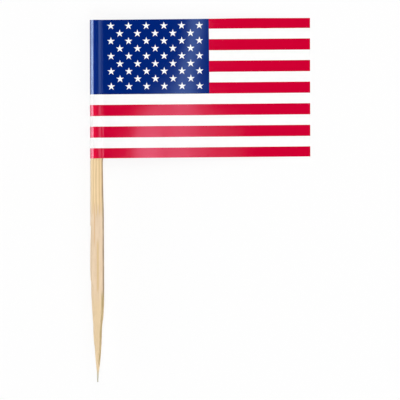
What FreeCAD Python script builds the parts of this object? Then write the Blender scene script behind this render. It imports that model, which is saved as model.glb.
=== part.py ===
import FreeCAD, Part
import math
import os

# A flag toothpick: a turned wooden pick with a printed paper strip folded round its blunt end and glued
# back to back. Sizes are in millimetres and angles in degrees.
#
# The part lies as it comes to rest on a table, on its shank and on the flag's free edge. X runs from the
# pick towards that edge, Y runs along the pick towards its blunt end, and Z points up. While it is being
# built, the pick's axis is the Y axis, the flag lies level and its top edge crosses the axis at Y = 0.
# The flag is then rolled about the axis until its free edge is down on the table.

# Wooden pick
pick_length = 64.9
neck_radius = 1.15
shank_radius = 1.24
neck_below_flag = 0.4
swell_length = 6.0
end_chamfer = 0.12
shoulder_radius = 100.0
cone_half_angle = 3.8
nose_length = 2.9
nose_root_radius = 0.48
nose_bulge = 0.027
needle_length = 1.7
needle_root_radius = 0.18
tip_radius = 0.11

# Paper strip
flag_height = 24.85
flag_reach = 38.3
ply = 0.065
glue_film = 0.015
paper_overhang = 0.1
crest_drop = 0.43
front_crease_radius = 0.3
back_crease_radius = 1.0
glue_pool = 0.03

# Print
ink_depth = 0.02
wrap_skew = 0.4
hoist_offset = 0.93
top_trim = 0.225
bottom_trim = 0.205
stripe_count = 13
canton_stripes = 7
canton_width = 19.13
star_rows = 9
stars_in_long_row = 6
star_tips = 5
star_width = 1.557

# Sizes that follow from these
wrap_inner_radius = neck_radius + glue_film
wrap_radius = wrap_inner_radius + ply
axis_height = max(shank_radius, wrap_radius)
leaf_front = wrap_radius - crest_drop
leaf_middle = leaf_front - ply
leaf_back = leaf_middle - ply
pattern_height = flag_height + top_trim + bottom_trim
stripe_height = pattern_height / stripe_count
canton_height = canton_stripes * stripe_height
star_column = canton_width / (2 * stars_in_long_row)
star_row = canton_height / (star_rows + 1)
skew = math.radians(wrap_skew)
quarter = math.pi / 2

# Blocks that cut the paper reach this far past it on every side.
beyond = max(flag_reach, flag_height)

# The creases are round, run smoothly from the wrap into the leaf, and have their centres outside the paper.
front_crease_height = leaf_front + front_crease_radius
front_crease_reach = math.sqrt((wrap_radius + front_crease_radius) ** 2 - front_crease_height ** 2)
back_crease_height = leaf_back - back_crease_radius
back_crease_reach = math.sqrt((wrap_radius + back_crease_radius) ** 2 - back_crease_height ** 2)

# Rolled by this angle, the rear leaf's free corner comes down to the table.
free_corner_away = math.hypot(flag_reach, leaf_back)
roll = math.asin(axis_height / free_corner_away) + math.atan2(leaf_back, flag_reach)


def point(x, z):
    """A point of the strip's section, which lies across the pick."""
    return FreeCAD.Vector(x, 0, z)


def polar(centre, radius, angle):
    """The point at an angle, in radians from X towards Z, on a circle of the section."""
    return centre + FreeCAD.Vector(radius * math.cos(angle), 0, radius * math.sin(angle))


def line(start, end):
    return Part.LineSegment(start, end).toShape()


def arc(centre, radius, start, end):
    """The arc of the section from one angle to another, both in radians."""
    ends = [polar(centre, radius, angle) for angle in (start, (start + end) / 2, end)]
    return Part.Arc(*ends).toShape()


axis_point = point(0, 0)
front_centre = point(front_crease_reach, front_crease_height)
back_centre = point(back_crease_reach, back_crease_height)
front_angle = math.atan2(front_crease_height, front_crease_reach)
back_angle = 2 * math.pi + math.atan2(back_crease_height, back_crease_reach)


def printed_face(inset):
    """The strip's printed face in section, moved into the paper by inset.

    It runs from the free edge along the front leaf, round the pick and back along the rear leaf."""
    front = leaf_front - inset
    back = leaf_back + inset
    return [
        line(point(flag_reach, front), point(front_crease_reach, front)),
        arc(front_centre, front_crease_radius + inset, -quarter, front_angle - math.pi),
        arc(axis_point, wrap_radius - inset, front_angle, back_angle),
        arc(back_centre, back_crease_radius + inset, back_angle - math.pi, quarter),
        line(point(back_crease_reach, back), point(flag_reach, back)),
    ]


def free_edge(inset):
    """The two corners of the free edge, front and back, on the path that is moved in by inset."""
    return point(flag_reach, leaf_front - inset), point(flag_reach, leaf_back + inset)


def section_face(edges):
    """The plane face inside a closed loop of edges."""
    return Part.Face(Part.Wire(Part.__sortEdges__(edges)))


def strip_section():
    """The whole folded strip, its leaves glued into one thickness."""
    return section_face(printed_face(0) + [line(*free_edge(0))])


def hollow_section():
    """The room inside the fold: the pick's hole and the wedge behind it, up to the pool of glue."""
    front_radius = front_crease_radius + ply
    back_radius = back_crease_radius + ply
    wedge = math.acos(1 - glue_pool / back_radius)
    wedge_end = polar(back_centre, back_radius, quarter + wedge)
    return section_face([
        arc(front_centre, front_radius, front_angle - math.pi, -quarter),
        line(point(front_crease_reach, leaf_middle), point(wedge_end.x, leaf_middle)),
        line(point(wedge_end.x, leaf_middle), wedge_end),
        arc(back_centre, back_radius, quarter + wedge, back_angle - math.pi),
        arc(axis_point, wrap_inner_radius, back_angle, front_angle),
    ])


def skin_section():
    """The depth of paper that the ink soaks into, all along the printed face."""
    ends = [line(*corners) for corners in zip(free_edge(0), free_edge(ink_depth))]
    return section_face(printed_face(0) + printed_face(ink_depth) + ends)


def along_pick(face):
    """A section carried along the pick, from beyond the flag's lower edge to beyond its upper edge."""
    start = FreeCAD.Vector(0, -flag_height - beyond, 0)
    return face.translated(start).extrude(FreeCAD.Vector(0, flag_height + 2 * beyond, 0))


def on_pattern(shape):
    """A shape drawn on the pattern, from its upper corner at the pick, put where it is printed."""
    height = (top_trim + hoist_offset * math.sin(skew)) / math.cos(skew)
    turn = FreeCAD.Rotation(FreeCAD.Vector(0, 0, 1), wrap_skew)
    placed = shape.copy()
    placed.Placement = FreeCAD.Placement(FreeCAD.Vector(hoist_offset, height, 0), turn)
    return placed


def field(left, right, low, high):
    """A block through both leaves over a rectangle of the pattern."""
    corner = FreeCAD.Vector(left, low, -beyond)
    return on_pattern(Part.makeBox(right - left, high - low, 2 * beyond, corner))


def star(across, up):
    """A five-pointed star, one tip up, cut through both leaves. Its arms are drawn from tip to tip."""
    tip_radius_of_star = star_width / 2
    notch_radius = tip_radius_of_star * math.sin(quarter / star_tips) / math.sin(3 * quarter / star_tips)
    centre = FreeCAD.Vector(across, up, -beyond)
    corners = []
    for step in range(2 * star_tips):
        radius = notch_radius if step % 2 else tip_radius_of_star
        angle = quarter + step * math.pi / star_tips
        corners.append(centre + FreeCAD.Vector(radius * math.cos(angle), radius * math.sin(angle), 0))
    outline = Part.makePolygon(corners + corners[:1])
    return on_pattern(Part.Face(outline).extrude(FreeCAD.Vector(0, 0, 2 * beyond)))


def stars():
    """Rows of stars, long and short by turns, each short row set in by half a column."""
    found = []
    for row in range(star_rows):
        short = row % 2
        for place in range(stars_in_long_row - short):
            found.append(star(star_column * (1 + 2 * place + short), -star_row * (1 + row)))
    return found


def red_fields():
    """Every second stripe from the top; those beside the canton start at its edge."""
    found = []
    for stripe in range(0, stripe_count, 2):
        left = canton_width if stripe < canton_stripes else -beyond
        high = -stripe * stripe_height
        found.append(field(left, 2 * beyond, high - stripe_height, high))
    return found


def make_toothpick():
    """One turned stick: chamfered blunt end, slim neck, shank, long shoulder, cone, nose and needle."""
    slope = math.radians(cone_half_angle)
    tip = -paper_overhang - pick_length
    needle_root = tip + needle_length
    nose_root = needle_root + nose_length
    shoulder_end_radius = shank_radius - shoulder_radius * (1 - math.cos(slope))
    cone_top = nose_root + (shoulder_end_radius - nose_root_radius) / math.tan(slope)
    shoulder_top = cone_top + shoulder_radius * math.sin(slope)
    shoulder_middle = FreeCAD.Vector(
        shank_radius - shoulder_radius * (1 - math.cos(slope / 2)),
        shoulder_top - shoulder_radius * math.sin(slope / 2),
        0,
    )
    nose_middle = FreeCAD.Vector(
        (nose_root_radius + needle_root_radius) / 2 + nose_bulge, (nose_root + needle_root) / 2, 0
    )
    neck_end = -flag_height - neck_below_flag
    stations = {
        "top": FreeCAD.Vector(0, -paper_overhang, 0),
        "rim": FreeCAD.Vector(neck_radius - end_chamfer, -paper_overhang, 0),
        "neck_top": FreeCAD.Vector(neck_radius, -paper_overhang - end_chamfer, 0),
        "neck_end": FreeCAD.Vector(neck_radius, neck_end, 0),
        "shank_top": FreeCAD.Vector(shank_radius, neck_end - swell_length, 0),
        "shoulder_top": FreeCAD.Vector(shank_radius, shoulder_top, 0),
        "cone_top": FreeCAD.Vector(shoulder_end_radius, cone_top, 0),
        "nose_root": FreeCAD.Vector(nose_root_radius, nose_root, 0),
        "needle_root": FreeCAD.Vector(needle_root_radius, needle_root, 0),
        "needle_end": FreeCAD.Vector(tip_radius, tip, 0),
        "tip": FreeCAD.Vector(0, tip, 0),
    }
    profile = [
        line(stations["top"], stations["rim"]),
        line(stations["rim"], stations["neck_top"]),
        line(stations["neck_top"], stations["neck_end"]),
        line(stations["neck_end"], stations["shank_top"]),
        line(stations["shank_top"], stations["shoulder_top"]),
        Part.Arc(stations["shoulder_top"], shoulder_middle, stations["cone_top"]).toShape(),
        line(stations["cone_top"], stations["nose_root"]),
        Part.Arc(stations["nose_root"], nose_middle, stations["needle_root"]).toShape(),
        line(stations["needle_root"], stations["needle_end"]),
        line(stations["needle_end"], stations["tip"]),
        line(stations["tip"], stations["top"]),
    ]
    turned = Part.Face(Part.Wire(profile))
    return turned.revolve(FreeCAD.Vector(0, 0, 0), FreeCAD.Vector(0, 1, 0), 360)


def rolled_down(shape):
    """The level flag turned about the pick until its free edge touches the table."""
    turned = shape.copy()
    turned.rotate(FreeCAD.Vector(0, 0, 0), FreeCAD.Vector(0, 1, 0), math.degrees(roll))
    return turned


def make_flag():
    """The paper and its two inks, which lie flush in its printed face. Paper shows through the stars."""
    trimmed = field(-beyond, 2 * beyond, bottom_trim - pattern_height, -top_trim)
    blank = along_pick(strip_section()).common(trimmed).cut(along_pick(hollow_section()))
    skin = along_pick(skin_section()).common(trimmed)
    canton = skin.common(field(-beyond, canton_width, -canton_height, beyond))
    red = skin.common(Part.makeCompound(red_fields()))
    paper = blank.cut([red, canton])
    return [rolled_down(shape) for shape in (paper, red, canton.cut(stars()))]


def only_solids(shape):
    """The solids of a shape, as one solid or one group of them."""
    if len(shape.Solids) == 1:
        return shape.Solids[0]
    return Part.makeCompound(shape.Solids)


def main():
    paper, red, blue = make_flag()
    nodes = {
        "toothpick": make_toothpick(),
        "flag_sheet": paper,
        "red_stripes": red,
        "blue_canton": blue,
    }
    right = flag_reach * math.cos(roll) + leaf_front * math.sin(roll)
    left = -axis_height
    high = flag_reach * math.tan(skew)
    low = -paper_overhang - pick_length
    to_origin = FreeCAD.Vector(-(left + right) / 2, -(low + high) / 2, axis_height)
    os.makedirs("parts", exist_ok=True)
    for name, shape in nodes.items():
        solid = only_solids(shape).translated(to_origin)
        solid.exportStep("parts/" + name + ".step")
        box = solid.BoundBox
        print(name, len(solid.Solids), "solids,", "valid" if solid.isValid() else "NOT VALID")
        print("  volume", round(solid.Volume, 4), "box", [round(v, 4) for v in (
            box.XMin, box.YMin, box.ZMin, box.XMax, box.YMax, box.ZMax)])


main()
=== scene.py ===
"""A flag toothpick: a turned wooden pick with a printed paper strip folded round its blunt end.

The paper is one folded sheet with a soft curl, printed in glossy red and blue, and the pick is pale
turned wood with its fibres showing. Sizes are in millimetres until a mesh is made, and the places come
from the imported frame.
"""

import logging
import math
from dataclasses import dataclass, field
from enum import Enum

import bpy
import numpy as np
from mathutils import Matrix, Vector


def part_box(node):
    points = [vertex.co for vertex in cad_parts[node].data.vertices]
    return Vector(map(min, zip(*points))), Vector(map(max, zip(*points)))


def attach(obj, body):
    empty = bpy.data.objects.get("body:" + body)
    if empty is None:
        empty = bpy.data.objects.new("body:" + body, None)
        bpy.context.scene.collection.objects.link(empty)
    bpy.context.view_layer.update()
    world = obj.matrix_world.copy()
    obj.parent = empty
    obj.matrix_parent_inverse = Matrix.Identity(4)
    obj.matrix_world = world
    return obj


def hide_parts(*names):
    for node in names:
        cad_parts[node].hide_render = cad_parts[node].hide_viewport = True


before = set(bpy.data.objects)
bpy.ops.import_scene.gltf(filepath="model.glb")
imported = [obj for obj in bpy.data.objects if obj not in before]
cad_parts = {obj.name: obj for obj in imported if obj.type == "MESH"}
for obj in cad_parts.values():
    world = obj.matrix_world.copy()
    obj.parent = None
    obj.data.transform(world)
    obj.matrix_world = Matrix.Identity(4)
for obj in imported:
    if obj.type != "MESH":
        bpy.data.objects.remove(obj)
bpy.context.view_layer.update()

log = logging.getLogger("flag_toothpick")
MM = 0.001
Span = tuple[float, float]
Colour = tuple[float, float, float, float]


def srgb(red: int, green: int, blue: int) -> Colour:
    """A screen colour as scene-linear values: the sRGB curve undone, channel by channel.

    Args:
        red, green, blue: the colour's channels, from 0 to 255.

    Returns:
        The colour with an alpha of one.
    """
    def straight(channel: int) -> float:
        """One channel: a short straight run near black, and a power above it."""
        share = channel / 255
        return share / 12.92 if share <= 0.04045 else ((share + 0.055) / 1.055) ** 2.4

    return straight(red), straight(green), straight(blue), 1.0


def smooth(low: float, high: float, values: np.ndarray) -> np.ndarray:
    """Rises from 0 to 1 between low and high as three times the square less twice the cube."""
    share = np.clip((values - low) / (high - low), 0.0, 1.0)
    return share * share * (3 - 2 * share)


class Surface(Enum):
    """Which finish a face of the paper takes."""

    PRINTED = 0
    RAW = 1


class Value:
    """A number in a node tree. Sums written with it add Math nodes."""

    def __init__(self, graph: "Graph", socket: bpy.types.NodeSocket) -> None:
        """Keeps the tree and the socket that the number comes from."""
        self.graph = graph
        self.socket = socket

    def _with(self, operation: str, first: object, second: object) -> "Value":
        """One Math node on two numbers."""
        return self.graph.math(operation, first, second)

    def __add__(self, other: object) -> "Value":
        """The sum."""
        return self._with("ADD", self, other)

    def __radd__(self, other: object) -> "Value":
        """The sum, with this number second."""
        return self._with("ADD", other, self)

    def __sub__(self, other: object) -> "Value":
        """The difference."""
        return self._with("SUBTRACT", self, other)

    def __rsub__(self, other: object) -> "Value":
        """The difference, with this number taken away."""
        return self._with("SUBTRACT", other, self)

    def __mul__(self, other: object) -> "Value":
        """The product."""
        return self._with("MULTIPLY", self, other)

    def __rmul__(self, other: object) -> "Value":
        """The product, with this number second."""
        return self._with("MULTIPLY", other, self)

    def __truediv__(self, other: object) -> "Value":
        """The quotient."""
        return self._with("DIVIDE", self, other)

    def __neg__(self) -> "Value":
        """The number with its sign changed."""
        return self._with("MULTIPLY", self, -1.0)


class Graph:
    """The node tree of a material or a world, and short ways to add to it."""

    def __init__(self, tree: bpy.types.NodeTree) -> None:
        """Empties the tree."""
        self.tree = tree
        tree.nodes.clear()

    def node(self, kind: str, settings: dict[str, object] | None = None,
             inputs: dict[str | int, object] | None = None) -> bpy.types.Node:
        """Adds a node.

        Args:
            kind: the node's type.
            settings: its own properties, which are set first.
            inputs: numbers, colours, sockets or Values for its sockets, by name or place.

        Returns:
            The new node.
        """
        made = self.tree.nodes.new(kind)
        for name, value in (settings or {}).items():
            setattr(made, name, value)
        for name, value in (inputs or {}).items():
            socket = made.inputs[name]
            if isinstance(value, Value):
                value = value.socket
            if isinstance(value, bpy.types.NodeSocket):
                self.tree.links.new(value, socket)
            else:
                socket.default_value = value
        return made

    def value(self, socket: bpy.types.NodeSocket) -> Value:
        """A socket as a number to reckon with."""
        return Value(self, socket)

    def math(self, operation: str, *terms: object) -> Value:
        """One Math node.

        Args:
            operation: the node's operation.
            terms: its numbers, in order.

        Returns:
            The result.
        """
        made = self.node("ShaderNodeMath", {"operation": operation}, dict(enumerate(terms)))
        return self.value(made.outputs[0])

    def fract(self, term: object) -> Value:
        """What is left of a number above the whole number below it."""
        return self.math("FRACT", term)

    def step(self, low: float, high: float, term: object) -> Value:
        """A smooth rise from 0 to 1 between low and high."""
        made = self.node("ShaderNodeMapRange", {"interpolation_type": "SMOOTHSTEP"},
                         {"Value": term, "From Min": low, "From Max": high, "To Min": 0.0, "To Max": 1.0})
        return self.value(made.outputs["Result"])

    def fall(self, low: float, high: float, term: object) -> Value:
        """A smooth fall from 1 to 0 between low and high."""
        return 1 - self.step(low, high, term)

    def inside(self, low: float, high: float, soft: float, term: object) -> Value:
        """One between low and high and nought outside, with soft ends."""
        return self.step(low - soft, low + soft, term) * self.fall(high - soft, high + soft, term)

    def mix(self, share: object, first: object, second: object, blend: str = "MIX") -> bpy.types.NodeSocket:
        """Blends two colours.

        Args:
            share: how much of the second colour shows.
            first: the colour at a share of nought.
            second: the colour at a share of one.
            blend: the Mix node's blend type.

        Returns:
            The colour's socket.
        """
        made = self.node("ShaderNodeMix", {"data_type": "RGBA", "blend_type": blend},
                         {0: share, 6: first, 7: second})
        return made.outputs[2]

    def blend(self, share: object, first: object, second: object) -> bpy.types.NodeSocket:
        """Blends two shaders, the second by its share."""
        return self.node("ShaderNodeMixShader", {}, {0: share, 1: first, 2: second}).outputs[0]

    def noise(self, vector: object, scale: float, detail: float) -> Value:
        """Cloudy noise from 0 to 1 about a half.

        Args:
            vector: where it is read.
            scale: how many cells to a unit of the vector.
            detail: how many finer layers it has.

        Returns:
            The noise.
        """
        made = self.node("ShaderNodeTexNoise", {}, {"Vector": vector, "Scale": scale, "Detail": detail})
        return self.value(made.outputs["Fac"])

    def point(self, across: object, along: object, up: object) -> bpy.types.NodeSocket:
        """Three numbers as one vector."""
        return self.node("ShaderNodeCombineXYZ", {}, {0: across, 1: along, 2: up}).outputs[0]

    def grey(self, shade: object) -> bpy.types.NodeSocket:
        """A number as a grey of that brightness."""
        return self.node("ShaderNodeCombineColor", {}, {0: shade, 1: shade, 2: shade}).outputs[0]

    def bump(self, strength: float, depth: float, height: object) -> bpy.types.NodeSocket:
        """The surface's direction where a height from 0 to 1 stands for a depth in metres."""
        return self.node("ShaderNodeBump", {}, {
            "Strength": strength, "Distance": depth, "Height": height}).outputs[0]

    def place(self) -> list[Value]:
        """The point being shaded, in the object's own frame.

        Returns:
            Its three coordinates, in millimetres.
        """
        found = self.node("ShaderNodeTexCoord").outputs["Object"]
        scaled = self.node("ShaderNodeVectorMath", {"operation": "SCALE"}, {0: found, "Scale": 1 / MM})
        split = self.node("ShaderNodeSeparateXYZ", {}, {0: scaled.outputs[0]})
        return [self.value(socket) for socket in split.outputs]

    def surface(self, shader: bpy.types.NodeSocket) -> None:
        """Ends a material's tree."""
        self.node("ShaderNodeOutputMaterial", {}, {"Surface": shader})


def new_object(name: str, data: bpy.types.ID) -> bpy.types.Object:
    """A new object in the scene.

    Args:
        name: its name.
        data: its mesh, lamp or camera.

    Returns:
        The new object.
    """
    made = bpy.data.objects.new(name, data)
    bpy.context.scene.collection.objects.link(made)
    return made


def new_material(name: str) -> tuple[bpy.types.Material, Graph]:
    """A material whose node tree is empty.

    Args:
        name: its name.

    Returns:
        The new material, and the graph of its tree.
    """
    made = bpy.data.materials.new(name)
    made.use_nodes = True
    return made, Graph(made.node_tree)


@dataclass(frozen=True)
class Pattern:
    """The printed pattern's sizes: thirteen stripes, and a corner with rows of stars."""

    height: float = 25.23
    stripes: int = 13
    canton_stripes: int = 7
    canton_width: float = 19.175
    star_field: float = 19.07
    star_rows: int = 9
    long_row: int = 6
    star_width: float = 1.43
    star_tips: int = 5
    skew: float = math.radians(0.4)
    hoist_offset: float = 0.93
    top_trim: float = 0.225
    edge_softness: float = 0.012
    ink_spread: float = 0.03
    rim: float = 0.16

    @property
    def pitch(self) -> float:
        """One stripe's height."""
        return self.height / self.stripes

    @property
    def canton_height(self) -> float:
        """The starred corner's height."""
        return self.canton_stripes * self.pitch

    @property
    def column(self) -> float:
        """Half the distance between the stars of a row."""
        return self.star_field / (2 * self.long_row)

    @property
    def row(self) -> float:
        """The distance between two rows of stars."""
        return self.canton_height / (self.star_rows + 1)

    def coordinates(self, across: np.ndarray, along: np.ndarray) -> tuple[np.ndarray, np.ndarray]:
        """The print's own coordinates: the leaf's plane, moved to the pattern's corner and turned.

        Args:
            across: distance from the pick's axis, towards the free edge.
            along: height above the flag's upper edge at the pick, so mostly negative.

        Returns:
            Both coordinates as shares of the pattern's height, turned by its skew, the second from its
            lower edge up.
        """
        cosine, sine = math.cos(self.skew), math.sin(self.skew)
        corner = (self.top_trim + self.hoist_offset * sine) / cosine
        right, up = across - self.hoist_offset, along - corner
        return (right * cosine + up * sine) / self.height, 1 + (up * cosine - right * sine) / self.height


@dataclass(frozen=True)
class WrapMasks:
    """Three masks of the wrapped paper, each one in its place and nought elsewhere.

    Pulled is the paper that is drawn round the pick, tight is the outer half of that wrap, and the
    highlight's flank is a band where the outer half begins, along which the ink is painted lighter as a
    painted spread of the wrap's highlight.
    """

    pulled: Value
    tight: Value
    highlight_flank: Value


@dataclass(frozen=True)
class Ink:
    """One finish of the print: its colour, the tint and sharpness of its shine, and how dark its rims are.

    Where the paper is pulled round the pick, the shine is duller, and the tight outer half has a second,
    glossier coat. Along the flank of the wrap's highlight the ink is painted lighter, a painted spread of
    that highlight.
    """

    colour: Colour
    shine: Colour
    level: float = 0.5
    gloss: float = 0.055
    rim: float = 0.0
    pulled_dulling: float = 0.18
    tight_coat: float = 0.0
    coat_gloss: float = 0.32
    # How much lighter the ink is painted along the flank of the wrap's highlight: a painted spread of that
    # highlight.
    highlight_spread: float = 0.0
    refraction: float = 1.5

    def shader(self, graph: Graph, tone: Value, gloss: Value, normal: bpy.types.NodeSocket,
               wrap: WrapMasks, rim: object = 0.0) -> bpy.types.NodeSocket:
        """The finish's own shader.

        Its colour is the ink's own times the tone, times one less the rim's share along the rim, times one
        and the highlight spread's share along the highlight's flank, which is painted light. Its roughness
        is the gloss plus its small change, plus the dulling where the paper is pulled.

        Args:
            graph: the tree to add to.
            tone: how light the paper is at each place, about one.
            gloss: a small change in roughness at each place.
            normal: the surface's direction.
            wrap: the masks of the paper that is wrapped round the pick.
            rim: one along the ink's edges and nought inside.

        Returns:
            The shader's socket.
        """
        shade = tone * (1 - self.rim * rim) if self.rim else tone
        # Painted light: the ink is made lighter along the flank of the wrap's highlight.
        if self.highlight_spread:
            shade = shade * (1 + self.highlight_spread * wrap.highlight_flank)
        return graph.node("ShaderNodeBsdfPrincipled", {}, {
            "Base Color": graph.mix(1.0, self.colour, graph.grey(shade), "MULTIPLY"),
            "Roughness": self.gloss + gloss + self.pulled_dulling * wrap.pulled,
            "Normal": normal,
            "IOR": self.refraction,
            "Specular IOR Level": self.level,
            "Specular Tint": self.shine,
            "Coat Weight": self.tight_coat * wrap.tight if self.tight_coat else 0.0,
            "Coat Roughness": self.coat_gloss,
        }).outputs[0]


@dataclass(frozen=True)
class PrintedPaper:
    """Coated paper printed in glossy red and blue, with the paper's white in the stripes and stars.

    The limits of what lies on the wrap are millimetres from the pattern's hoist, which is past the pick's
    axis, so they are negative.
    """

    pattern: Pattern
    white: Ink = Ink(srgb(251, 251, 250), (1.0, 1.0, 1.0, 1.0), level=0.05, gloss=0.09)
    red: Ink = Ink(srgb(208, 0, 50), (1.0, 0.6, 0.86, 1.0), rim=0.1, pulled_dulling=0.22, tight_coat=0.1,
                   highlight_spread=0.35)
    blue: Ink = Ink(srgb(0, 35, 117), (0.42, 0.64, 1.0, 1.0), rim=0.32, pulled_dulling=0.16, tight_coat=0.4,
                    highlight_spread=0.35)
    mottle: float = 0.06
    fibre_mottle: float = 0.03
    cloud_scale: float = 900.0
    cloud_layers: float = 3.0
    fibre_scale: float = 9000.0
    fibre_layers: float = 2.0
    gloss_change: float = 0.01
    relief: float = 0.12
    relief_depth: float = 2e-6
    cloud_relief: float = 0.6
    rim_from: float = 1.3
    rim_to: float = 0.7
    pulled: Span = (-1.3, -0.1)
    tight: Span = (-1.5, -0.9)
    # The band along the flank of the wrap's highlight where the ink is painted lighter, as painted light.
    highlight_flank_from: Span = (-1.8, -1.45)
    highlight_flank_to: Span = (-1.6, -0.9)
    # The span and share of a painted shade: the white is painted darker over the left of the wrap.
    shaded_left: Span = (-2.3, -0.7)
    left_shade: float = 0.06

    def star(self, graph: Graph, right: Value, down: Value, shift: float) -> Value:
        """A lattice of five-pointed stars.

        Each star is folded onto one half arm by taking the angle from straight up within a fifth of a turn,
        without its sign. There its outline is the straight line from the tip to the notch.

        Args:
            graph: the tree to add to.
            right: distance from the pattern's hoist, in millimetres.
            down: distance from its upper edge, in millimetres.
            shift: how far the lattice is moved, in steps of its own.

        Returns:
            One inside a star and nought outside.
        """
        look = self.pattern
        tip = look.star_width / 2
        fifth = 2 * math.pi / look.star_tips
        notch = tip * math.sin(fifth / 4) / math.sin(3 * fifth / 4)
        edge = np.array([notch * math.cos(fifth / 2) - tip, notch * math.sin(fifth / 2)])
        normal = np.array([edge[1], -edge[0]]) / np.linalg.norm(edge)
        step_across, step_down = 2 * look.column, 2 * look.row
        across = (graph.fract(right / step_across + shift) - 0.5) * step_across
        under = (graph.fract(down / step_down + shift) - 0.5) * step_down
        away = graph.math("SQRT", across * across + under * under)
        angle = graph.math("ARCTAN2", across, -under)
        folded = graph.math("ABSOLUTE", graph.fract(angle / fifth + 0.5) - 0.5) * fifth
        reach = away * graph.math("COSINE", folded) - tip
        outside = reach * float(normal[0]) + away * graph.math("SINE", folded) * float(normal[1])
        return graph.fall(-look.edge_softness, look.edge_softness, outside)

    def edges(self, graph: Graph, size: float, term: Value) -> tuple[Value, Value]:
        """The inside of an edge, and the darker rim that the ink leaves just within it.

        Args:
            graph: the tree to add to.
            size: where the edge is.
            term: the number that grows across it.

        Returns:
            One below the size and nought above it, and one along the rim, rising towards the edge.
        """
        soft, rim = self.pattern.edge_softness, self.pattern.rim
        return (graph.fall(size - soft, size + soft, term),
                graph.step(size - self.rim_from * rim, size - self.rim_to * rim, term))

    def build(self) -> bpy.types.Material:
        """The material, which reads the print's own UV map.

        The fraction of the distance down over two stripes says how far the nearest red stripe's middle is,
        and a place is red within half a stripe of it. The canton is where the distances across and down are
        both less than its own. The stars are two lattices, the second moved by half a step both ways and
        kept half a step inside the field.

        Returns:
            The new material.
        """
        material, graph = new_material("printed_paper")
        look = self.pattern
        soft = look.edge_softness
        chart = graph.node("ShaderNodeUVMap", {"uv_map": "print"}).outputs[0]
        split = graph.node("ShaderNodeSeparateXYZ", {}, {0: chart})
        place = graph.node("ShaderNodeTexCoord").outputs["Object"]
        cloud = graph.noise(place, self.cloud_scale, self.cloud_layers)
        fibre = graph.noise(place, self.fibre_scale, self.fibre_layers)
        creep = (fibre - 0.5) * (2 * soft)
        right = graph.value(split.outputs[0]) * look.height + creep
        down = (1 - graph.value(split.outputs[1])) * look.height + creep

        band = graph.math("ABSOLUTE", graph.fract(down / (2 * look.pitch) + 0.25) - 0.5) * (2 * look.pitch)
        red, red_rim = self.edges(graph, look.pitch / 2 + look.ink_spread, band)
        near, side_rim = self.edges(graph, look.canton_width + look.ink_spread, right)
        high, lower_rim = self.edges(graph, look.canton_height + look.ink_spread, down)
        canton, canton_rim = near * high, graph.math("MAXIMUM", side_rim, lower_rim)
        long_rows = self.star(graph, right, down, 0.0)
        long_rows = long_rows * graph.inside(0.0, 2 * look.long_row * look.column, soft, right)
        short_rows = self.star(graph, right, down, 0.5)
        short_rows = short_rows * graph.inside(
            look.column, (2 * look.long_row - 1) * look.column, soft, right)
        short_rows = short_rows * graph.inside(look.row, look.canton_height - look.row, soft, down)
        stars = graph.math("MAXIMUM", long_rows, short_rows)

        tone = 1 - self.mottle * (cloud - 0.5) - self.fibre_mottle * (fibre - 0.5)
        wrap = WrapMasks(
            pulled=graph.fall(*self.pulled, right),
            tight=graph.fall(*self.tight, right),
            # A band along the flank of the wrap's highlight, where the ink is painted lighter: painted
            # light.
            highlight_flank=graph.step(*self.highlight_flank_from, right) * graph.fall(*self.highlight_flank_to, right),
        )
        gloss = self.gloss_change * (cloud - 0.5)
        height = cloud * self.cloud_relief + fibre * (1 - self.cloud_relief)
        normal = graph.bump(self.relief, self.relief_depth, height)
        shaded_left = graph.fall(*self.shaded_left, right)
        # Painted shade: the white is made darker over the left of the wrap, the side turned from the light.
        paper = self.white.shader(graph, tone * (1 - self.left_shade * shaded_left), gloss, normal, wrap)
        striped = graph.blend(red, paper, self.red.shader(graph, tone, gloss, normal, wrap, red_rim))
        starred = graph.blend(stars, self.blue.shader(graph, tone, gloss, normal, wrap, canton_rim), paper)
        graph.surface(graph.blend(canton, striped, starred))
        return material


@dataclass(frozen=True)
class RawPaper:
    """The cut edges and the glued side of the paper, matt and a little fibrous."""

    white: Colour = srgb(240, 239, 235)
    dusk: Colour = srgb(222, 220, 214)
    fibre_scale: float = 12000.0
    fibre_layers: float = 4.0
    dusk_from: Span = (0.35, 0.7)
    relief: float = 0.3
    relief_depth: float = 4e-6
    roughness: float = 0.8
    roughness_change: float = 0.1

    def build(self) -> bpy.types.Material:
        """The material: noise on the object's own place blends its two whites and moves its roughness.

        Returns:
            The new material.
        """
        material, graph = new_material("raw_paper")
        place = graph.node("ShaderNodeTexCoord").outputs["Object"]
        fibre = graph.noise(place, self.fibre_scale, self.fibre_layers)
        shader = graph.node("ShaderNodeBsdfPrincipled", {}, {
            "Base Color": graph.mix(graph.step(*self.dusk_from, fibre), self.white, self.dusk),
            "Roughness": self.roughness + self.roughness_change * (fibre - 0.5),
            "Normal": graph.bump(self.relief, self.relief_depth, fibre),
        })
        graph.surface(shader.outputs[0])
        return material


@dataclass(frozen=True)
class Bend:
    """A soft bend down the leaf: how much its slope turns, and its place and spread at both edges."""

    turn: float
    place: Span
    spread: Span

    def fall(self, across: np.ndarray, start: float, fan: np.ndarray) -> np.ndarray:
        """How far the bend lowers the leaf.

        Its slope turns along a logistic curve. So the fall is its turn times its spread times the logarithm
        of one plus the exponential of the distance past it in spreads, less what the slope at the crease
        would give.

        Args:
            across: distance from the pick's axis.
            start: where the crease runs into the leaf.
            fan: how far its place and spread are on the way from the upper edge's to the lower edge's.

        Returns:
            The fall, nought with no slope at the crease.
        """
        middle = self.place[0] + (self.place[1] - self.place[0]) * fan
        spread = self.spread[0] + (self.spread[1] - self.spread[0]) * fan
        begun = (start - middle) / spread
        eased = np.logaddexp(0, (across - middle) / spread) - np.logaddexp(0, begun)
        return self.turn * (spread * eased - (across - start) / (1 + np.exp(-begun)))


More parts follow.
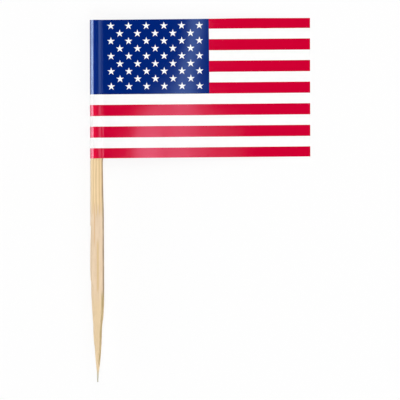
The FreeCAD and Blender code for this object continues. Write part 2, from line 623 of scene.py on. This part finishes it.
@dataclass
class FlagSheet:
    """The printed strip: one ply of paper from the free edge, round the pick and back, glued to itself.

    In section the ply runs along the front leaf, down a tight crease, round the pick, up a wider crease
    and along the rear leaf. The leaves carry a soft curl and come down to the table at the free edge.
    """

    pattern: Pattern = field(default_factory=Pattern)
    ply: float = 0.065
    seam: float = 0.002
    crest_drop: float = 0.43
    front_crease: float = 0.3
    back_crease: float = 1.0
    tilt: float = 0.0426
    bends: tuple[Bend, ...] = (
        Bend(0.0402, (17.59, 9.46), (3.54, 4.20)),
        Bend(0.0193, (30.0, 28.33), (9.76, 1.0)),
    )
    fan_end: float = 0.865
    overhang: float = 0.08
    crown: float = 0.06
    crown_place: float = 27.5
    crown_spread: float = 6.0
    rise: float = 0.05
    facets: int = 8
    facet_angle: float = math.radians(131.5)
    facet_depth: float = 0.022
    facet_drift: float = math.radians(1.5)
    facets_from: Span = (math.radians(80), math.radians(110))
    dent_angle: float = math.radians(59)
    dent_depth: float = 0.03
    dent_spread: float = 0.3
    wander: tuple[tuple[float, float, float], ...] = ((19.0, 0.6, 0.6), (43.0, 0.0, 0.4))
    hold_ease: float = 0.1
    sharp_angle: float = math.radians(40)
    leaf_columns: int = 150
    crease_columns: int = 10
    wrap_columns: int = 120
    rows: int = 96

    def __post_init__(self) -> None:
        """Reads the pick's axis and the paper's reach from the frame, in millimetres."""
        pick_low, pick_high = (np.array(corner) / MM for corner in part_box("toothpick"))
        low, high = (np.array(corner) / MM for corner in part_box("flag_sheet"))
        self.axis_x = (pick_low[0] + pick_high[0]) / 2
        self.axis_z = (pick_low[2] + pick_high[2]) / 2
        self.wrap_radius = self.axis_x - low[0]
        self.reach = high[0] - self.axis_x + self.overhang
        slope = math.tan(self.pattern.skew)
        self.top = high[1] - self.reach * slope
        self.bottom = low[1] + self.wrap_radius * slope
        self.leaf_middle = self.wrap_radius - self.crest_drop - self.ply

    def curl_height(self, across: np.ndarray, down: np.ndarray) -> np.ndarray:
        """How far the leaf is bent from its plane.

        It is lowered by the sum of its bends, which fan out from the upper edge to the lower. A square
        term, nought at the crease, then brings the free edge down to the table.

        Args:
            across: distance from the pick's axis.
            down: share of the flag's height below its upper edge.

        Returns:
            The height, nought with no slope at the crease.
        """
        fan = smooth(0.0, self.fan_end, down)
        start = self.back_tangent
        leaf_back = self.leaf_middle - self.ply
        wanted = (self.reach * math.sin(self.tilt) - self.axis_z) / math.cos(self.tilt) - leaf_back
        end = np.full_like(across, self.reach)
        share = np.clip((across - start) / (self.reach - start), 0, 1)
        bent, bent_end = (-sum(bend.fall(place, start, fan) for bend in self.bends)
                          for place in (np.maximum(across, start), end))
        return bent + (wanted - bent_end) * share ** 2

    @property
    def back_tangent(self) -> float:
        """Where the rear crease runs into the leaf, from the pick's axis."""
        height = self.leaf_middle - self.ply - self.back_crease
        return math.sqrt((self.wrap_radius + self.back_crease) ** 2 - height ** 2)

    def path(self) -> tuple[np.ndarray, np.ndarray, np.ndarray]:
        """The middle of the ply in section: straight runs, and arcs about the creases and the pick.

        A crease is a circle that touches the wrap from outside. Its middle is both radii together from the
        pick's axis, and that length and its height give how far across it is.

        Returns:
            Distances from the pick's axis across and up, from the front free edge to the rear one, and
            one where the ply is wrapped round the pick, fading to nought at the creases.
        """
        half = self.ply / 2
        front = self.leaf_middle + half
        back = self.leaf_middle - half
        front_height = self.leaf_middle + self.ply + self.front_crease
        front_reach = math.sqrt((self.wrap_radius + self.front_crease) ** 2 - front_height ** 2)
        back_height = self.leaf_middle - self.ply - self.back_crease
        back_reach = self.back_tangent
        front_angle = math.atan2(front_height, front_reach)
        back_angle = 2 * math.pi + math.atan2(back_height, back_reach)

        def arc(centre: Span, radius: float, ends: Span, count: int) -> np.ndarray:
            """Points on a circle between two angles."""
            turns = np.linspace(*ends, count)
            return np.stack([centre[0] + radius * np.cos(turns), centre[1] + radius * np.sin(turns)])

        def run(start: float, end: float, height: float) -> np.ndarray:
            """Points on a level line."""
            places = np.linspace(start, end, self.leaf_columns)
            return np.stack([places, np.full_like(places, height)])

        pieces = [
            run(self.reach, front_reach, front)[:, :-1],
            arc((front_reach, front_height), self.front_crease + half,
                (-math.pi / 2, front_angle - math.pi), self.crease_columns)[:, :-1],
            arc((0.0, 0.0), self.wrap_radius - half, (front_angle, back_angle), self.wrap_columns)[:, :-1],
            arc((back_reach, back_height), self.back_crease + half,
                (back_angle - math.pi, math.pi / 2), self.crease_columns)[:, :-1],
            run(back_reach, self.reach, back),
        ]
        joined = np.concatenate(pieces, axis=1)
        turned = np.linspace(0.0, 1.0, self.wrap_columns)[:-1]
        hold = np.zeros(joined.shape[1])
        first = pieces[0].shape[1] + pieces[1].shape[1]
        ease = self.hold_ease
        hold[first: first + len(turned)] = smooth(0.0, ease, turned) * (1 - smooth(1 - ease, 1.0, turned))
        return joined[0], joined[1], hold

    def flat_size(self) -> Span:
        """The strip before it was folded: the length of its path, and the flag's height.

        Returns:
            Both lengths, in metres.
        """
        across, up, _ = self.path()
        length = np.hypot(np.diff(across), np.diff(up)).sum()
        return float(length) * MM, float(self.top - self.bottom) * MM

    def press(self, across: np.ndarray, up: np.ndarray, hold: np.ndarray, share: np.ndarray) -> np.ndarray:
        """How far the wrapped ply lies inside its circle.

        Stiff paper goes round the pick in soft facets, so the depth is a cosine of the angle round it,
        deepest at the middle of a facet. The facets set in past the front of the pick. Between it and the
        crease there is one wider dent, a bell of the angle. Both wander a little along the pick, as a sum
        of two sines.

        Args:
            across: distance from the pick's axis.
            up: height above it.
            hold: one on the wrap and nought elsewhere.
            share: share of the flag's height from its lower edge.

        Returns:
            The distance inwards, a column of the path to a row.
        """
        drift = sum(part * np.sin(rate * share + phase) for rate, phase, part in self.wander)
        turn = np.mod(np.arctan2(up, across), 2 * np.pi)[:, None]
        angle = turn - self.facet_drift * drift[None, :]
        depth = self.facet_depth * smooth(*self.facets_from, turn)
        facets = depth * np.cos(self.facets * (angle - self.facet_angle))
        dent = self.dent_depth * np.exp(-((angle - self.dent_angle) / self.dent_spread) ** 2)
        return hold[:, None] * (facets + dent)

    def build(self) -> bpy.types.Object:
        """The paper as one closed sheet: the path carried along the pick, and thickened both ways.

        Each edge rises with the distance across by the skew's slope, and the upper one has a low bell and a
        slight rise besides. A point of the path goes out and in along its normal by half a ply, with a thin
        seam left at the glued side, and is then turned about the pick's axis by the tilt.

        Returns:
            The new object, with the print's UV map and its faces marked printed or raw.
        """
        across, up, hold = self.path()
        share = np.linspace(0.0, 1.0, self.rows)
        slope = math.tan(self.pattern.skew)
        pressed = 1 - self.press(across, up, hold, share) / np.hypot(across, up)[:, None]
        across_grid = across[:, None] * pressed
        lower = self.bottom + across_grid * slope
        bow = self.crown * np.exp(-((across_grid - self.crown_place) / self.crown_spread) ** 2)
        upper = self.top + across_grid * slope + bow + self.rise * across_grid / self.reach
        along = lower + (upper - lower) * share[None, :]
        height = up[:, None] * pressed + self.curl_height(across_grid, 1 - share[None, :] + 0 * across_grid)
        slide = np.gradient(across_grid, axis=0)
        climb = np.gradient(height, axis=0)
        length = np.hypot(slide, climb)
        outward = np.stack([climb / length, -slide / length])
        half = self.ply / 2
        sides = []
        for reach in (half, self.seam - half):
            x = across_grid + reach * outward[0]
            z = height + reach * outward[1]
            rolled_x = x * math.cos(self.tilt) + z * math.sin(self.tilt)
            rolled_z = z * math.cos(self.tilt) - x * math.sin(self.tilt)
            sides.append(np.stack([rolled_x + self.axis_x, along, rolled_z + self.axis_z], axis=-1))
        points = np.concatenate([side.reshape(-1, 3) for side in sides])

        columns, rows = across_grid.shape
        index = np.arange(columns * rows).reshape(columns, rows)
        under = index + columns * rows

        def cells(grid: np.ndarray) -> np.ndarray:
            """The four corners of each cell of a grid."""
            corners = (grid[:-1, :-1], grid[:-1, 1:], grid[1:, 1:], grid[1:, :-1])
            return np.stack(corners, axis=-1).reshape(-1, 4)

        def strip(first: np.ndarray, second: np.ndarray) -> np.ndarray:
            """The four corners of each cell between two rows."""
            return np.stack([first[:-1], first[1:], second[1:], second[:-1]], axis=-1)

        printed = cells(index)
        raw = np.concatenate([
            cells(under)[:, ::-1],
            strip(index[:, 0], under[:, 0]),
            strip(under[:, -1], index[:, -1]),
            strip(under[0], index[0]),
            strip(index[-1], under[-1]),
        ])
        faces = np.concatenate([printed, raw])
        right, high = self.pattern.coordinates(across_grid, along - self.top)
        chart = np.tile(np.stack([right, high], axis=-1).reshape(-1, 2), (2, 1))
        mesh = smooth_mesh("paper_flag", points * MM, faces)
        layer = mesh.uv_layers.new(name="print")
        layer.data.foreach_set("uv", chart[faces.reshape(-1)].astype(np.float32).reshape(-1))
        finish = np.full(len(faces), Surface.RAW.value, np.int32)
        finish[: len(printed)] = Surface.PRINTED.value
        mesh.polygons.foreach_set("material_index", finish)
        mesh.set_sharp_from_angle(angle=self.sharp_angle)
        for material in (PrintedPaper(self.pattern).build(), RawPaper().build()):
            mesh.materials.append(material)
        return new_object("paper_flag", mesh)


def smooth_mesh(name: str, points: np.ndarray, *faces: np.ndarray) -> bpy.types.Mesh:
    """A mesh with smooth shading.

    Args:
        name: the mesh's name.
        points: its corners, in metres, one to a row.
        faces: arrays of corner numbers, a face to a row, such as one of quads and one of triangles.

    Returns:
        The new mesh.
    """
    mesh = bpy.data.meshes.new(name)
    mesh.from_pydata(points.tolist(), [], [face for group in faces for face in group.tolist()])
    mesh.polygons.foreach_set("use_smooth", np.ones(len(mesh.polygons), bool))
    mesh.update(calc_edges=True)
    return mesh


@dataclass(frozen=True)
class Streak:
    """One long mark on the wood, at an angle from straight up, between two distances down the pick. Most
    are fibre marks; the dark ones on the pick's right side are partly brown wood colour and partly painted
    shade.

    A frayed one breaks up into strands along its length.
    """

    angle: float
    start: float
    end: float
    width: float
    colour: Colour
    strength: float
    frayed: float = 0.0


@dataclass(frozen=True)
class Grain:
    """Noise drawn out along the pick: its cells to the millimetre across and along, and its layers."""

    across: float
    along: float
    layers: float

    def read(self, graph: Graph, side: Value, down: Value, lift: Value) -> Value:
        """The noise at a place."""
        place = graph.point(side * self.across, down * self.along, lift * self.across)
        return graph.noise(place, 1.0, self.layers)


@dataclass(frozen=True)
class TurnedWood:
    """Bare pale wood: straw-coloured ribs below the flag, then smoother and pinker, grey at the needle.

    Places are millimetres down from the blunt end, and those of the needle millimetres up from the tip.
    The sides of a streak are shares of its width.
    """

    axis_x: float
    axis_z: float
    top: float
    length: float
    straw: Colour = srgb(244, 216, 171)
    straw_dark: Colour = srgb(223, 193, 148)
    pink: Colour = srgb(234, 209, 178)
    pink_dark: Colour = srgb(226, 199, 167)
    point: Colour = srgb(229, 203, 163)
    needle: Colour = srgb(196, 192, 172)
    end_grain: Colour = srgb(232, 202, 156)
    end_pore: Colour = srgb(186, 146, 98)
    broad_grain: Grain = Grain(9.0, 0.22, 4.0)
    fine_grain: Grain = Grain(34.0, 0.8, 3.0)
    rib_grain: Grain = Grain(1.5, 0.25, 1.0)
    strand_grain: Grain = Grain(2.6, 0.2, 3.0)
    pore_grain: Grain = Grain(7.0, 0.0, 2.0)
    rib_turns: float = 13.3
    rib_phase: float = 0.1
    rib_wander: float = 3.0
    rib_end: float = 34.0
    rib_end_wave: float = 1.3
    rib_end_fray: float = 3.0
    rib_end_softness: float = 0.25
    pink_dark_from: Span = (0.35, 0.7)
    point_from: Span = (47.5, 52.0)
    needle_from: Span = (2.6, 0.8)
    sawn_depth: Span = (0.02, 0.09)
    pores_from: Span = (0.5, 0.68)
    streak_sides: Span = (0.3, 1.2)
    streak_ends: float = 0.9
    streak_shift: float = 2.0
    fray: float = 3.2
    fine_tone: float = 0.16
    broad_tone: float = 0.10
    relief: float = 0.35
    relief_depth: float = 2e-5
    fine_relief: float = 0.6
    roughness: float = 0.55
    roughness_change: float = 0.25
    level: float = 0.35
    streaks_and_shade: tuple[Streak, ...] = (
        Streak(-1.25, 22.0, 36.0, 0.22, srgb(216, 200, 180), 0.8),
        Streak(-0.38, 33.0, 40.0, 0.10, srgb(222, 180, 130), 0.7),
        Streak(0.12, 39.5, 48.6, 0.20, srgb(220, 190, 138), 0.85),
        Streak(-0.97, 36.5, 48.5, 0.17, srgb(212, 187, 152), 0.8),
        Streak(0.44, 22.0, 34.5, 0.19, srgb(222, 190, 142), 0.85),
        Streak(-0.66, 36.0, 41.0, 0.14, srgb(228, 200, 164), 0.6),
        Streak(-0.75, 47.0, 57.0, 0.30, srgb(224, 196, 156), 0.6),
        # These four dark streaks on the pick's right side are partly brown wood colour and partly painted
        # shade of that side, where the light falls off.
        Streak(1.20, 22.0, 31.5, 0.34, srgb(168, 134, 98), 0.95, 1.0),
        Streak(1.20, 30.0, 50.0, 0.34, srgb(156, 132, 104), 0.95, 1.0),
        Streak(1.02, 49.0, 57.0, 0.42, srgb(178, 155, 108), 0.8, 1.0),
        Streak(0.95, 55.5, 61.8, 0.46, srgb(168, 144, 94), 0.76, 1.0),
    )

    def build(self) -> bpy.types.Material:
        """The material, laid out by the angle round the pick's axis and the distance down its length.

        The ribs are a cosine of the angle times their number, which wanders with noise. Each streak is one
        between its sides and between its ends, and a frayed one is multiplied by noise drawn out along it.

        Returns:
            The new material.
        """
        material, graph = new_material("turned_wood")
        x, y, z = graph.place()
        side, lift = x - self.axis_x, z - self.axis_z
        down = self.top - y
        turn = graph.math("ARCTAN2", side, lift)
        broad, fine, wander, strand, pores = (grain.read(graph, side, down, lift) for grain in (
            self.broad_grain, self.fine_grain, self.rib_grain, self.strand_grain, self.pore_grain))
        ribbed = (turn + self.rib_phase) * self.rib_turns
        rib = graph.math("COSINE", ribbed + (wander - 0.5) * self.rib_wander)
        ribs = 0.5 + 0.5 * rib
        border = self.rib_end + self.rib_end_wave * rib + self.rib_end_fray * (broad - 0.5)
        lower = graph.step(-self.rib_end_softness, self.rib_end_softness, down - border)

        straw = graph.mix(ribs, self.straw, self.straw_dark)
        pink = graph.mix(graph.step(*self.pink_dark_from, broad), self.pink, self.pink_dark)
        colour = graph.mix(lower, straw, pink)
        colour = graph.mix(graph.step(*self.point_from, down), colour, self.point)
        shifted = down + self.streak_shift * (broad - 0.5)
        for streak in self.streaks_and_shade:
            near = graph.math("ABSOLUTE", turn - streak.angle)
            mask = graph.fall(*(share * streak.width for share in self.streak_sides), near)
            mask = mask * graph.inside(streak.start, streak.end, self.streak_ends, shifted)
            if streak.frayed:
                mask = mask * (1 + self.fray * streak.frayed * (strand - 0.5))
            colour = graph.mix(mask * streak.strength, colour, streak.colour)
        worn = graph.step(*(self.length - above for above in self.needle_from), down)
        colour = graph.mix(worn, colour, self.needle)
        sawn = graph.mix(graph.step(*self.pores_from, pores), self.end_grain, self.end_pore)
        colour = graph.mix(graph.fall(*self.sawn_depth, down), colour, sawn)
        tone = 1.0 + self.fine_tone * (0.5 - fine) + self.broad_tone * (0.5 - broad)
        height = fine * self.fine_relief + ribs * (1 - self.fine_relief) * (1 - lower)
        shader = graph.node("ShaderNodeBsdfPrincipled", {}, {
            "Base Color": graph.mix(1.0, colour, graph.grey(tone), "MULTIPLY"),
            "Roughness": self.roughness + self.roughness_change * (broad - 0.5),
            "Normal": graph.bump(self.relief, self.relief_depth, height),
            "Specular IOR Level": self.level,
        })
        graph.surface(shader.outputs[0])
        return material


@dataclass(frozen=True)
class Shaving:
    """A shallow flat where a splinter came away: its angle, its ends down the pick, its width and depth."""

    angle: float
    start: float
    end: float
    width: float
    depth: float
    lead: float = 0.5

    def relief(self, down: np.ndarray, turns: np.ndarray) -> np.ndarray:
        """How deep it is: a sharp start, a slow end, and a bell across that falls with the angle squared.

        Args:
            down: distances down the pick.
            turns: angles round it.

        Returns:
            The depth, a row to a distance.
        """
        off = np.angle(np.exp(1j * (turns - self.angle)))
        deepest = self.start + self.lead
        along = smooth(self.start, deepest, down) * (1 - smooth(deepest, self.end, down))
        return self.depth * along[:, None] * np.exp(-((off / self.width) ** 2))[None, :]


@dataclass
class Toothpick:
    """The turned pick: a slim neck under the paper, a round shank, and a long point to a fine needle.

    The lathe leaves the point a little to one side and the girth a little uneven, and long fibres stand
    up along the wood. The lean and the girth are pairs of a distance down the pick and the millimetres
    that it is moved aside or thickened there.
    """

    neck_radius: float = 1.14
    neck_end: float = 27.0
    swell: float = 7.6
    shoulder_radius: float = 100.0
    cone_angle: float = math.radians(3.8)
    nose_length: float = 2.9
    nose_root: float = 0.48
    nose_bulge: float = 0.027
    needle_length: float = 1.7
    needle_root: float = 0.18
    tip_radius: float = 0.10
    chamfer: float = 0.12
    bark: float = 0.02
    lean: tuple[Span, ...] = (
        (24.8, 0.0), (25.3, -0.07), (32, -0.02), (36, 0.02), (40, 0.0), (44, 0.01), (46, 0.03), (51, 0.13),
        (53, 0.15), (56, 0.08), (60, 0.12), (62, 0.12), (64.5, 0.06))
    girth: tuple[Span, ...] = (
        (28, 0.0), (31.5, -0.04), (36, -0.035), (38, -0.02), (42, -0.01), (44.5, 0.0), (46, -0.03),
        (48.8, -0.022), (51, 0.02), (53, 0.02), (55, 0.0), (57.4, 0.05), (59.6, 0.02), (61.8, -0.02),
        (63.5, 0.0))
    shavings: tuple[Shaving, ...] = (
        Shaving(-1.57, 36.6, 43.5, 0.7, 0.09),
        Shaving(-1.57, 46.4, 50.0, 0.6, 0.08),
        Shaving(-1.30, 49.4, 53.0, 0.6, 0.03),
        Shaving(1.40, 53.6, 58.5, 0.6, 0.06),
        Shaving(-1.45, 53.8, 56.0, 0.5, 0.03),
        Shaving(-1.45, 58.0, 61.0, 0.6, 0.05),
    )
    fibre: float = 0.006
    fibre_waves: tuple[int, ...] = (2, 3, 5, 8, 13, 21)
    fibre_slant: float = 14.0
    fibre_swell: Span = (5, 12)
    fibre_base: float = 0.6
    bare_from: Span = (26.6, 28.0)
    end_rings: tuple[float, ...] = (0.4, 0.75, 1.0)
    rings: int = 300
    needle_rings: int = 16
    sectors: int = 96
    seed: int = 7

    def __post_init__(self) -> None:
        """Reads the pick's axis, ends and shank from the frame, in millimetres."""
        low, high = (np.array(corner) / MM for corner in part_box("toothpick"))
        self.axis_x = (low[0] + high[0]) / 2
        self.axis_z = (low[2] + high[2]) / 2
        self.shank_radius = (high[0] - low[0]) / 2
        self.blunt_end = high[1]
        self.tip = low[1]

    def profile(self, down: np.ndarray) -> np.ndarray:
        """The pick's radius at distances down from its blunt end.

        A straight neck, a soft swell, a straight shank, a shoulder that is an arc of a large circle, a
        straight cone, a nose whose fall steepens evenly, and a straight needle, less the end's chamfer.

        Args:
            down: the distances.

        Returns:
            The radii.
        """
        length = self.blunt_end - self.tip
        needle_top = length - self.needle_length
        nose_top = needle_top - self.nose_length
        shank = self.shank_radius + self.bark
        shoulder_low = shank - self.shoulder_radius * (1 - math.cos(self.cone_angle))
        cone_top = nose_top - (shoulder_low - self.nose_root) / math.tan(self.cone_angle)
        shoulder_top = cone_top - self.shoulder_radius * math.sin(self.cone_angle)
        grown = smooth(self.neck_end, self.neck_end + self.swell, down)
        neck = self.neck_radius + (shank - self.neck_radius) * grown
        past = np.clip(down - shoulder_top, 0, cone_top - shoulder_top)
        shoulder = self.shoulder_radius - np.sqrt(self.shoulder_radius ** 2 - past ** 2)
        cone = math.tan(self.cone_angle) * np.clip(down - cone_top, 0, nose_top - cone_top)
        nose_share = np.clip((down - nose_top) / self.nose_length, 0, 1)
        bulge = 4 * self.nose_bulge * nose_share * (1 - nose_share)
        nose = (self.nose_root - self.needle_root) * nose_share - bulge
        needle_share = np.clip((down - needle_top) / self.needle_length, 0, 1)
        needle = (self.needle_root - self.tip_radius) * needle_share
        edge = np.clip(self.chamfer - down, 0, None)
        return neck - shoulder - cone - nose - needle - edge

    def build(self) -> bpy.types.Object:
        """The pick as one closed skin: rings along the axis, and a fan of triangles at both ends.

        A ring's radius is the profile and the girth, times one plus a sum of sines of the angle whose
        strength swells and fades along the pick, as split fibres do, less the shavings. The middle of each
        ring is moved aside by the lean, and nothing goes below the table.

        Returns:
            The new object.
        """
        length = self.blunt_end - self.tip
        down = np.concatenate([
            np.zeros(len(self.end_rings)),
            [self.chamfer / 2],
            np.linspace(self.chamfer, length - self.needle_length, self.rings),
            np.linspace(length - self.needle_length, length, self.needle_rings)[1:],
        ])
        radius = self.profile(down) + np.interp(down, *np.transpose(self.girth))
        radius[:len(self.end_rings)] *= self.end_rings
        turns = np.linspace(0, 2 * np.pi, self.sectors, endpoint=False)
        draw = np.random.default_rng(self.seed)
        ripple = np.zeros((len(down), self.sectors))
        for waves in self.fibre_waves:
            phase = draw.uniform(0, 2 * np.pi)
            drift = draw.uniform(-1.0, 1.0) / self.fibre_slant
            swell = np.sin(down / draw.uniform(*self.fibre_swell) + draw.uniform(0, 2 * np.pi))
            ripple += (np.sin(waves * turns[None, :] + phase + drift * down[:, None])
                       * (self.fibre_base + (1 - self.fibre_base) * swell[:, None]) / math.sqrt(waves))
        bare = smooth(*self.bare_from, down)
        full = radius[:, None] * (1 + self.fibre * bare[:, None] * ripple)
        full -= sum(shaving.relief(down, turns) for shaving in self.shavings)
        aside = np.interp(down, *np.transpose(self.lean))
        x = self.axis_x + aside[:, None] + full * np.sin(turns)[None, :]
        z = self.axis_z + full * np.cos(turns)[None, :]
        y = np.repeat((self.blunt_end - down)[:, None], self.sectors, axis=1)
        z = np.maximum(z, 0.0)
        rings = np.stack([x, y, z], axis=-1)
        poles = np.stack([rings[0].mean(axis=0), rings[-1].mean(axis=0)])
        points = np.concatenate([rings.reshape(-1, 3), poles])
        index = np.arange(len(down) * self.sectors).reshape(len(down), self.sectors)
        after = np.roll(index, -1, axis=1)
        skin = np.stack([index[:-1], index[1:], after[1:], after[:-1]], axis=-1).reshape(-1, 4)
        blunt = np.stack([index[0], after[0], np.full(self.sectors, index.size)], axis=-1)
        point = np.stack([after[-1], index[-1], np.full(self.sectors, index.size + 1)], axis=-1)
        mesh = smooth_mesh("turned_pick", points * MM, skin, blunt, point)
        wood = TurnedWood(self.axis_x, self.axis_z, self.blunt_end, length)
        mesh.materials.append(wood.build())
        return new_object("turned_pick", mesh)


@dataclass(frozen=True)
class Softbox:
    """A lit panel that faces the object. A white card seen at a radiance of one looks white."""

    name: str
    azimuth: float
    elevation: float
    distance: float
    across: float
    high: float
    radiance: float

    def build(self) -> bpy.types.Object:
        """The lamp, turned to face the origin. Its power is its radiance times its area times pi.

        Returns:
            The new lamp.
        """
        lamp = bpy.data.lights.new(self.name, "AREA")
        lamp.shape = "RECTANGLE"
        lamp.size = self.across
        lamp.size_y = self.high
        lamp.energy = self.radiance * self.across * self.high * math.pi
        around, above = math.radians(self.azimuth), math.radians(self.elevation)
        made = new_object(self.name, lamp)
        made.location = (
            self.distance * math.cos(above) * math.cos(around),
            self.distance * math.cos(above) * math.sin(around),
            self.distance * math.sin(above),
        )
        made.rotation_euler = (math.pi / 2 - above, 0.0, around + math.pi / 2)
        made.visible_camera = False
        return made


@dataclass
class Studio:
    """A plain white table, soft lamps round the object, and a camera straight above it."""

    lamps: tuple[Softbox, ...] = (
        Softbox("left_box", 180, 8.5, 0.6, 0.17, 0.12, 17.0),
        Softbox("right_box", 0, 38, 0.8, 0.8, 0.42, 2.06),
        Softbox("upper_box", 90, 45, 0.8, 0.7, 0.6, 3.04),
        Softbox("lower_box", 270, 45, 0.8, 0.7, 0.6, 3.04),
        Softbox("sheen_strip", 0, 84.485, 1.0, 0.3, 0.015, 3.7),
        Softbox("sheen_patch", 0, 85.72, 0.998, 0.0578, 0.0203, 4.7),
    )
    floor_size: float = 6.0
    floor_gap: float = 0.01
    floor_colour: Colour = srgb(245, 245, 245)
    floor_glow: float = 0.88
    horizon: float = 0.5
    zenith: float = 0.012
    horizon_band: Span = (0.05, 0.6)
    camera_distance: float = 0.9
    sensor: float = 36.0
    frame_pixels: int = 400
    pixels_to_mm: float = 5.5615
    centre_x: float = -0.025
    centre_y: float = 0.0
    turn: float = math.radians(0.14)

    def floor(self) -> bpy.types.Object:
        """The table's top. It glows to the camera, so it looks white and still shows a soft shadow.

        A ray from the camera, or mirrored or let through on its way, meets mostly glow, and any other ray
        a matt white.

        Returns:
            The new table.
        """
        half, low = self.floor_size / 2, -self.floor_gap * MM
        corners = np.array([[-half, -half, low], [half, -half, low], [half, half, low], [-half, half, low]])
        mesh = smooth_mesh("table_top", corners, np.array([[0, 1, 2, 3]]))
        table = new_object("table_top", mesh)
        material, graph = new_material("table_white")
        path = graph.node("ShaderNodeLightPath")
        seen = graph.value(path.outputs["Is Camera Ray"]) + graph.value(path.outputs["Is Glossy Ray"])
        seen = graph.math("MINIMUM", seen + graph.value(path.outputs["Is Transmission Ray"]), 1.0)
        matt = graph.node("ShaderNodeBsdfDiffuse", {}, {"Color": self.floor_colour})
        glow = graph.node("ShaderNodeEmission", {}, {"Strength": 1.0})
        graph.surface(graph.blend(seen * self.floor_glow, matt.outputs[0], glow.outputs[0]))
        mesh.materials.append(material)
        return table

    def world(self) -> None:
        """The room: white where the camera looks, else a glow along the horizon that fades upwards.

        The glow falls smoothly from the strength at the horizon to that at the zenith, across a band of
        heights above the horizon.
        """
        world = bpy.data.worlds.new("room")
        world.use_nodes = True
        bpy.context.scene.world = world
        graph = Graph(world.node_tree)
        way = graph.node("ShaderNodeTexCoord").outputs["Generated"]
        rise = graph.value(graph.node("ShaderNodeSeparateXYZ", {}, {0: way}).outputs[2])
        seen = graph.value(graph.node("ShaderNodeLightPath").outputs["Is Camera Ray"])
        glow = self.zenith + (self.horizon - self.zenith) * graph.fall(*self.horizon_band, rise)
        back = graph.node("ShaderNodeBackground", {}, {
            "Color": (1.0, 1.0, 1.0, 1.0), "Strength": glow * (1 - seen) + seen})
        graph.node("ShaderNodeOutputWorld", {}, {"Surface": back.outputs[0]})

    def camera(self) -> bpy.types.Object:
        """The camera, which looks straight down with a long lens.

        Its focal length is the sensor's width times the distance over the width that the frame shows.

        Returns:
            The new camera.
        """
        data = bpy.data.cameras.new("camera")
        data.sensor_width = self.sensor
        data.lens = self.sensor * self.camera_distance / (self.frame_pixels / self.pixels_to_mm * MM)
        made = new_object("camera", data)
        made.location = (self.centre_x * MM, self.centre_y * MM, self.camera_distance)
        made.rotation_euler = (0.0, 0.0, -self.turn)
        bpy.context.scene.camera = made
        return made

    def build(self) -> None:
        """Everything round the object, in order."""
        self.floor()
        self.world()
        for lamp in self.lamps:
            log.info("lamp %s", lamp.build().name)
        self.camera()
        bpy.context.scene.view_settings.view_transform = "Standard"


def carry(piece: bpy.types.Object, slot: str, *nodes: str) -> None:
    """Ties a piece to the part's one body, and hides and logs the nodes that it stands for.

    Args:
        piece: the piece.
        slot: not used.
        nodes: the nodes that it replaces.
    """
    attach(piece, "root")
    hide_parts(*nodes)
    log.info("%s: %d faces, in place of %s", piece.name, len(piece.data.polygons), ", ".join(nodes))


def main() -> None:
    """Builds the studio and then the pieces."""
    logging.basicConfig(level=logging.INFO, format="%(name)s: %(message)s")
    Studio().build()
    strip = FlagSheet()
    flag = strip.build()
    carry(flag, "white_paper", "flag_sheet", "red_stripes", "blue_canton")
    strip.flat_size()
    carry(Toothpick().build(), "pick_wood", "toothpick")


if __name__ == "__main__":
    main()
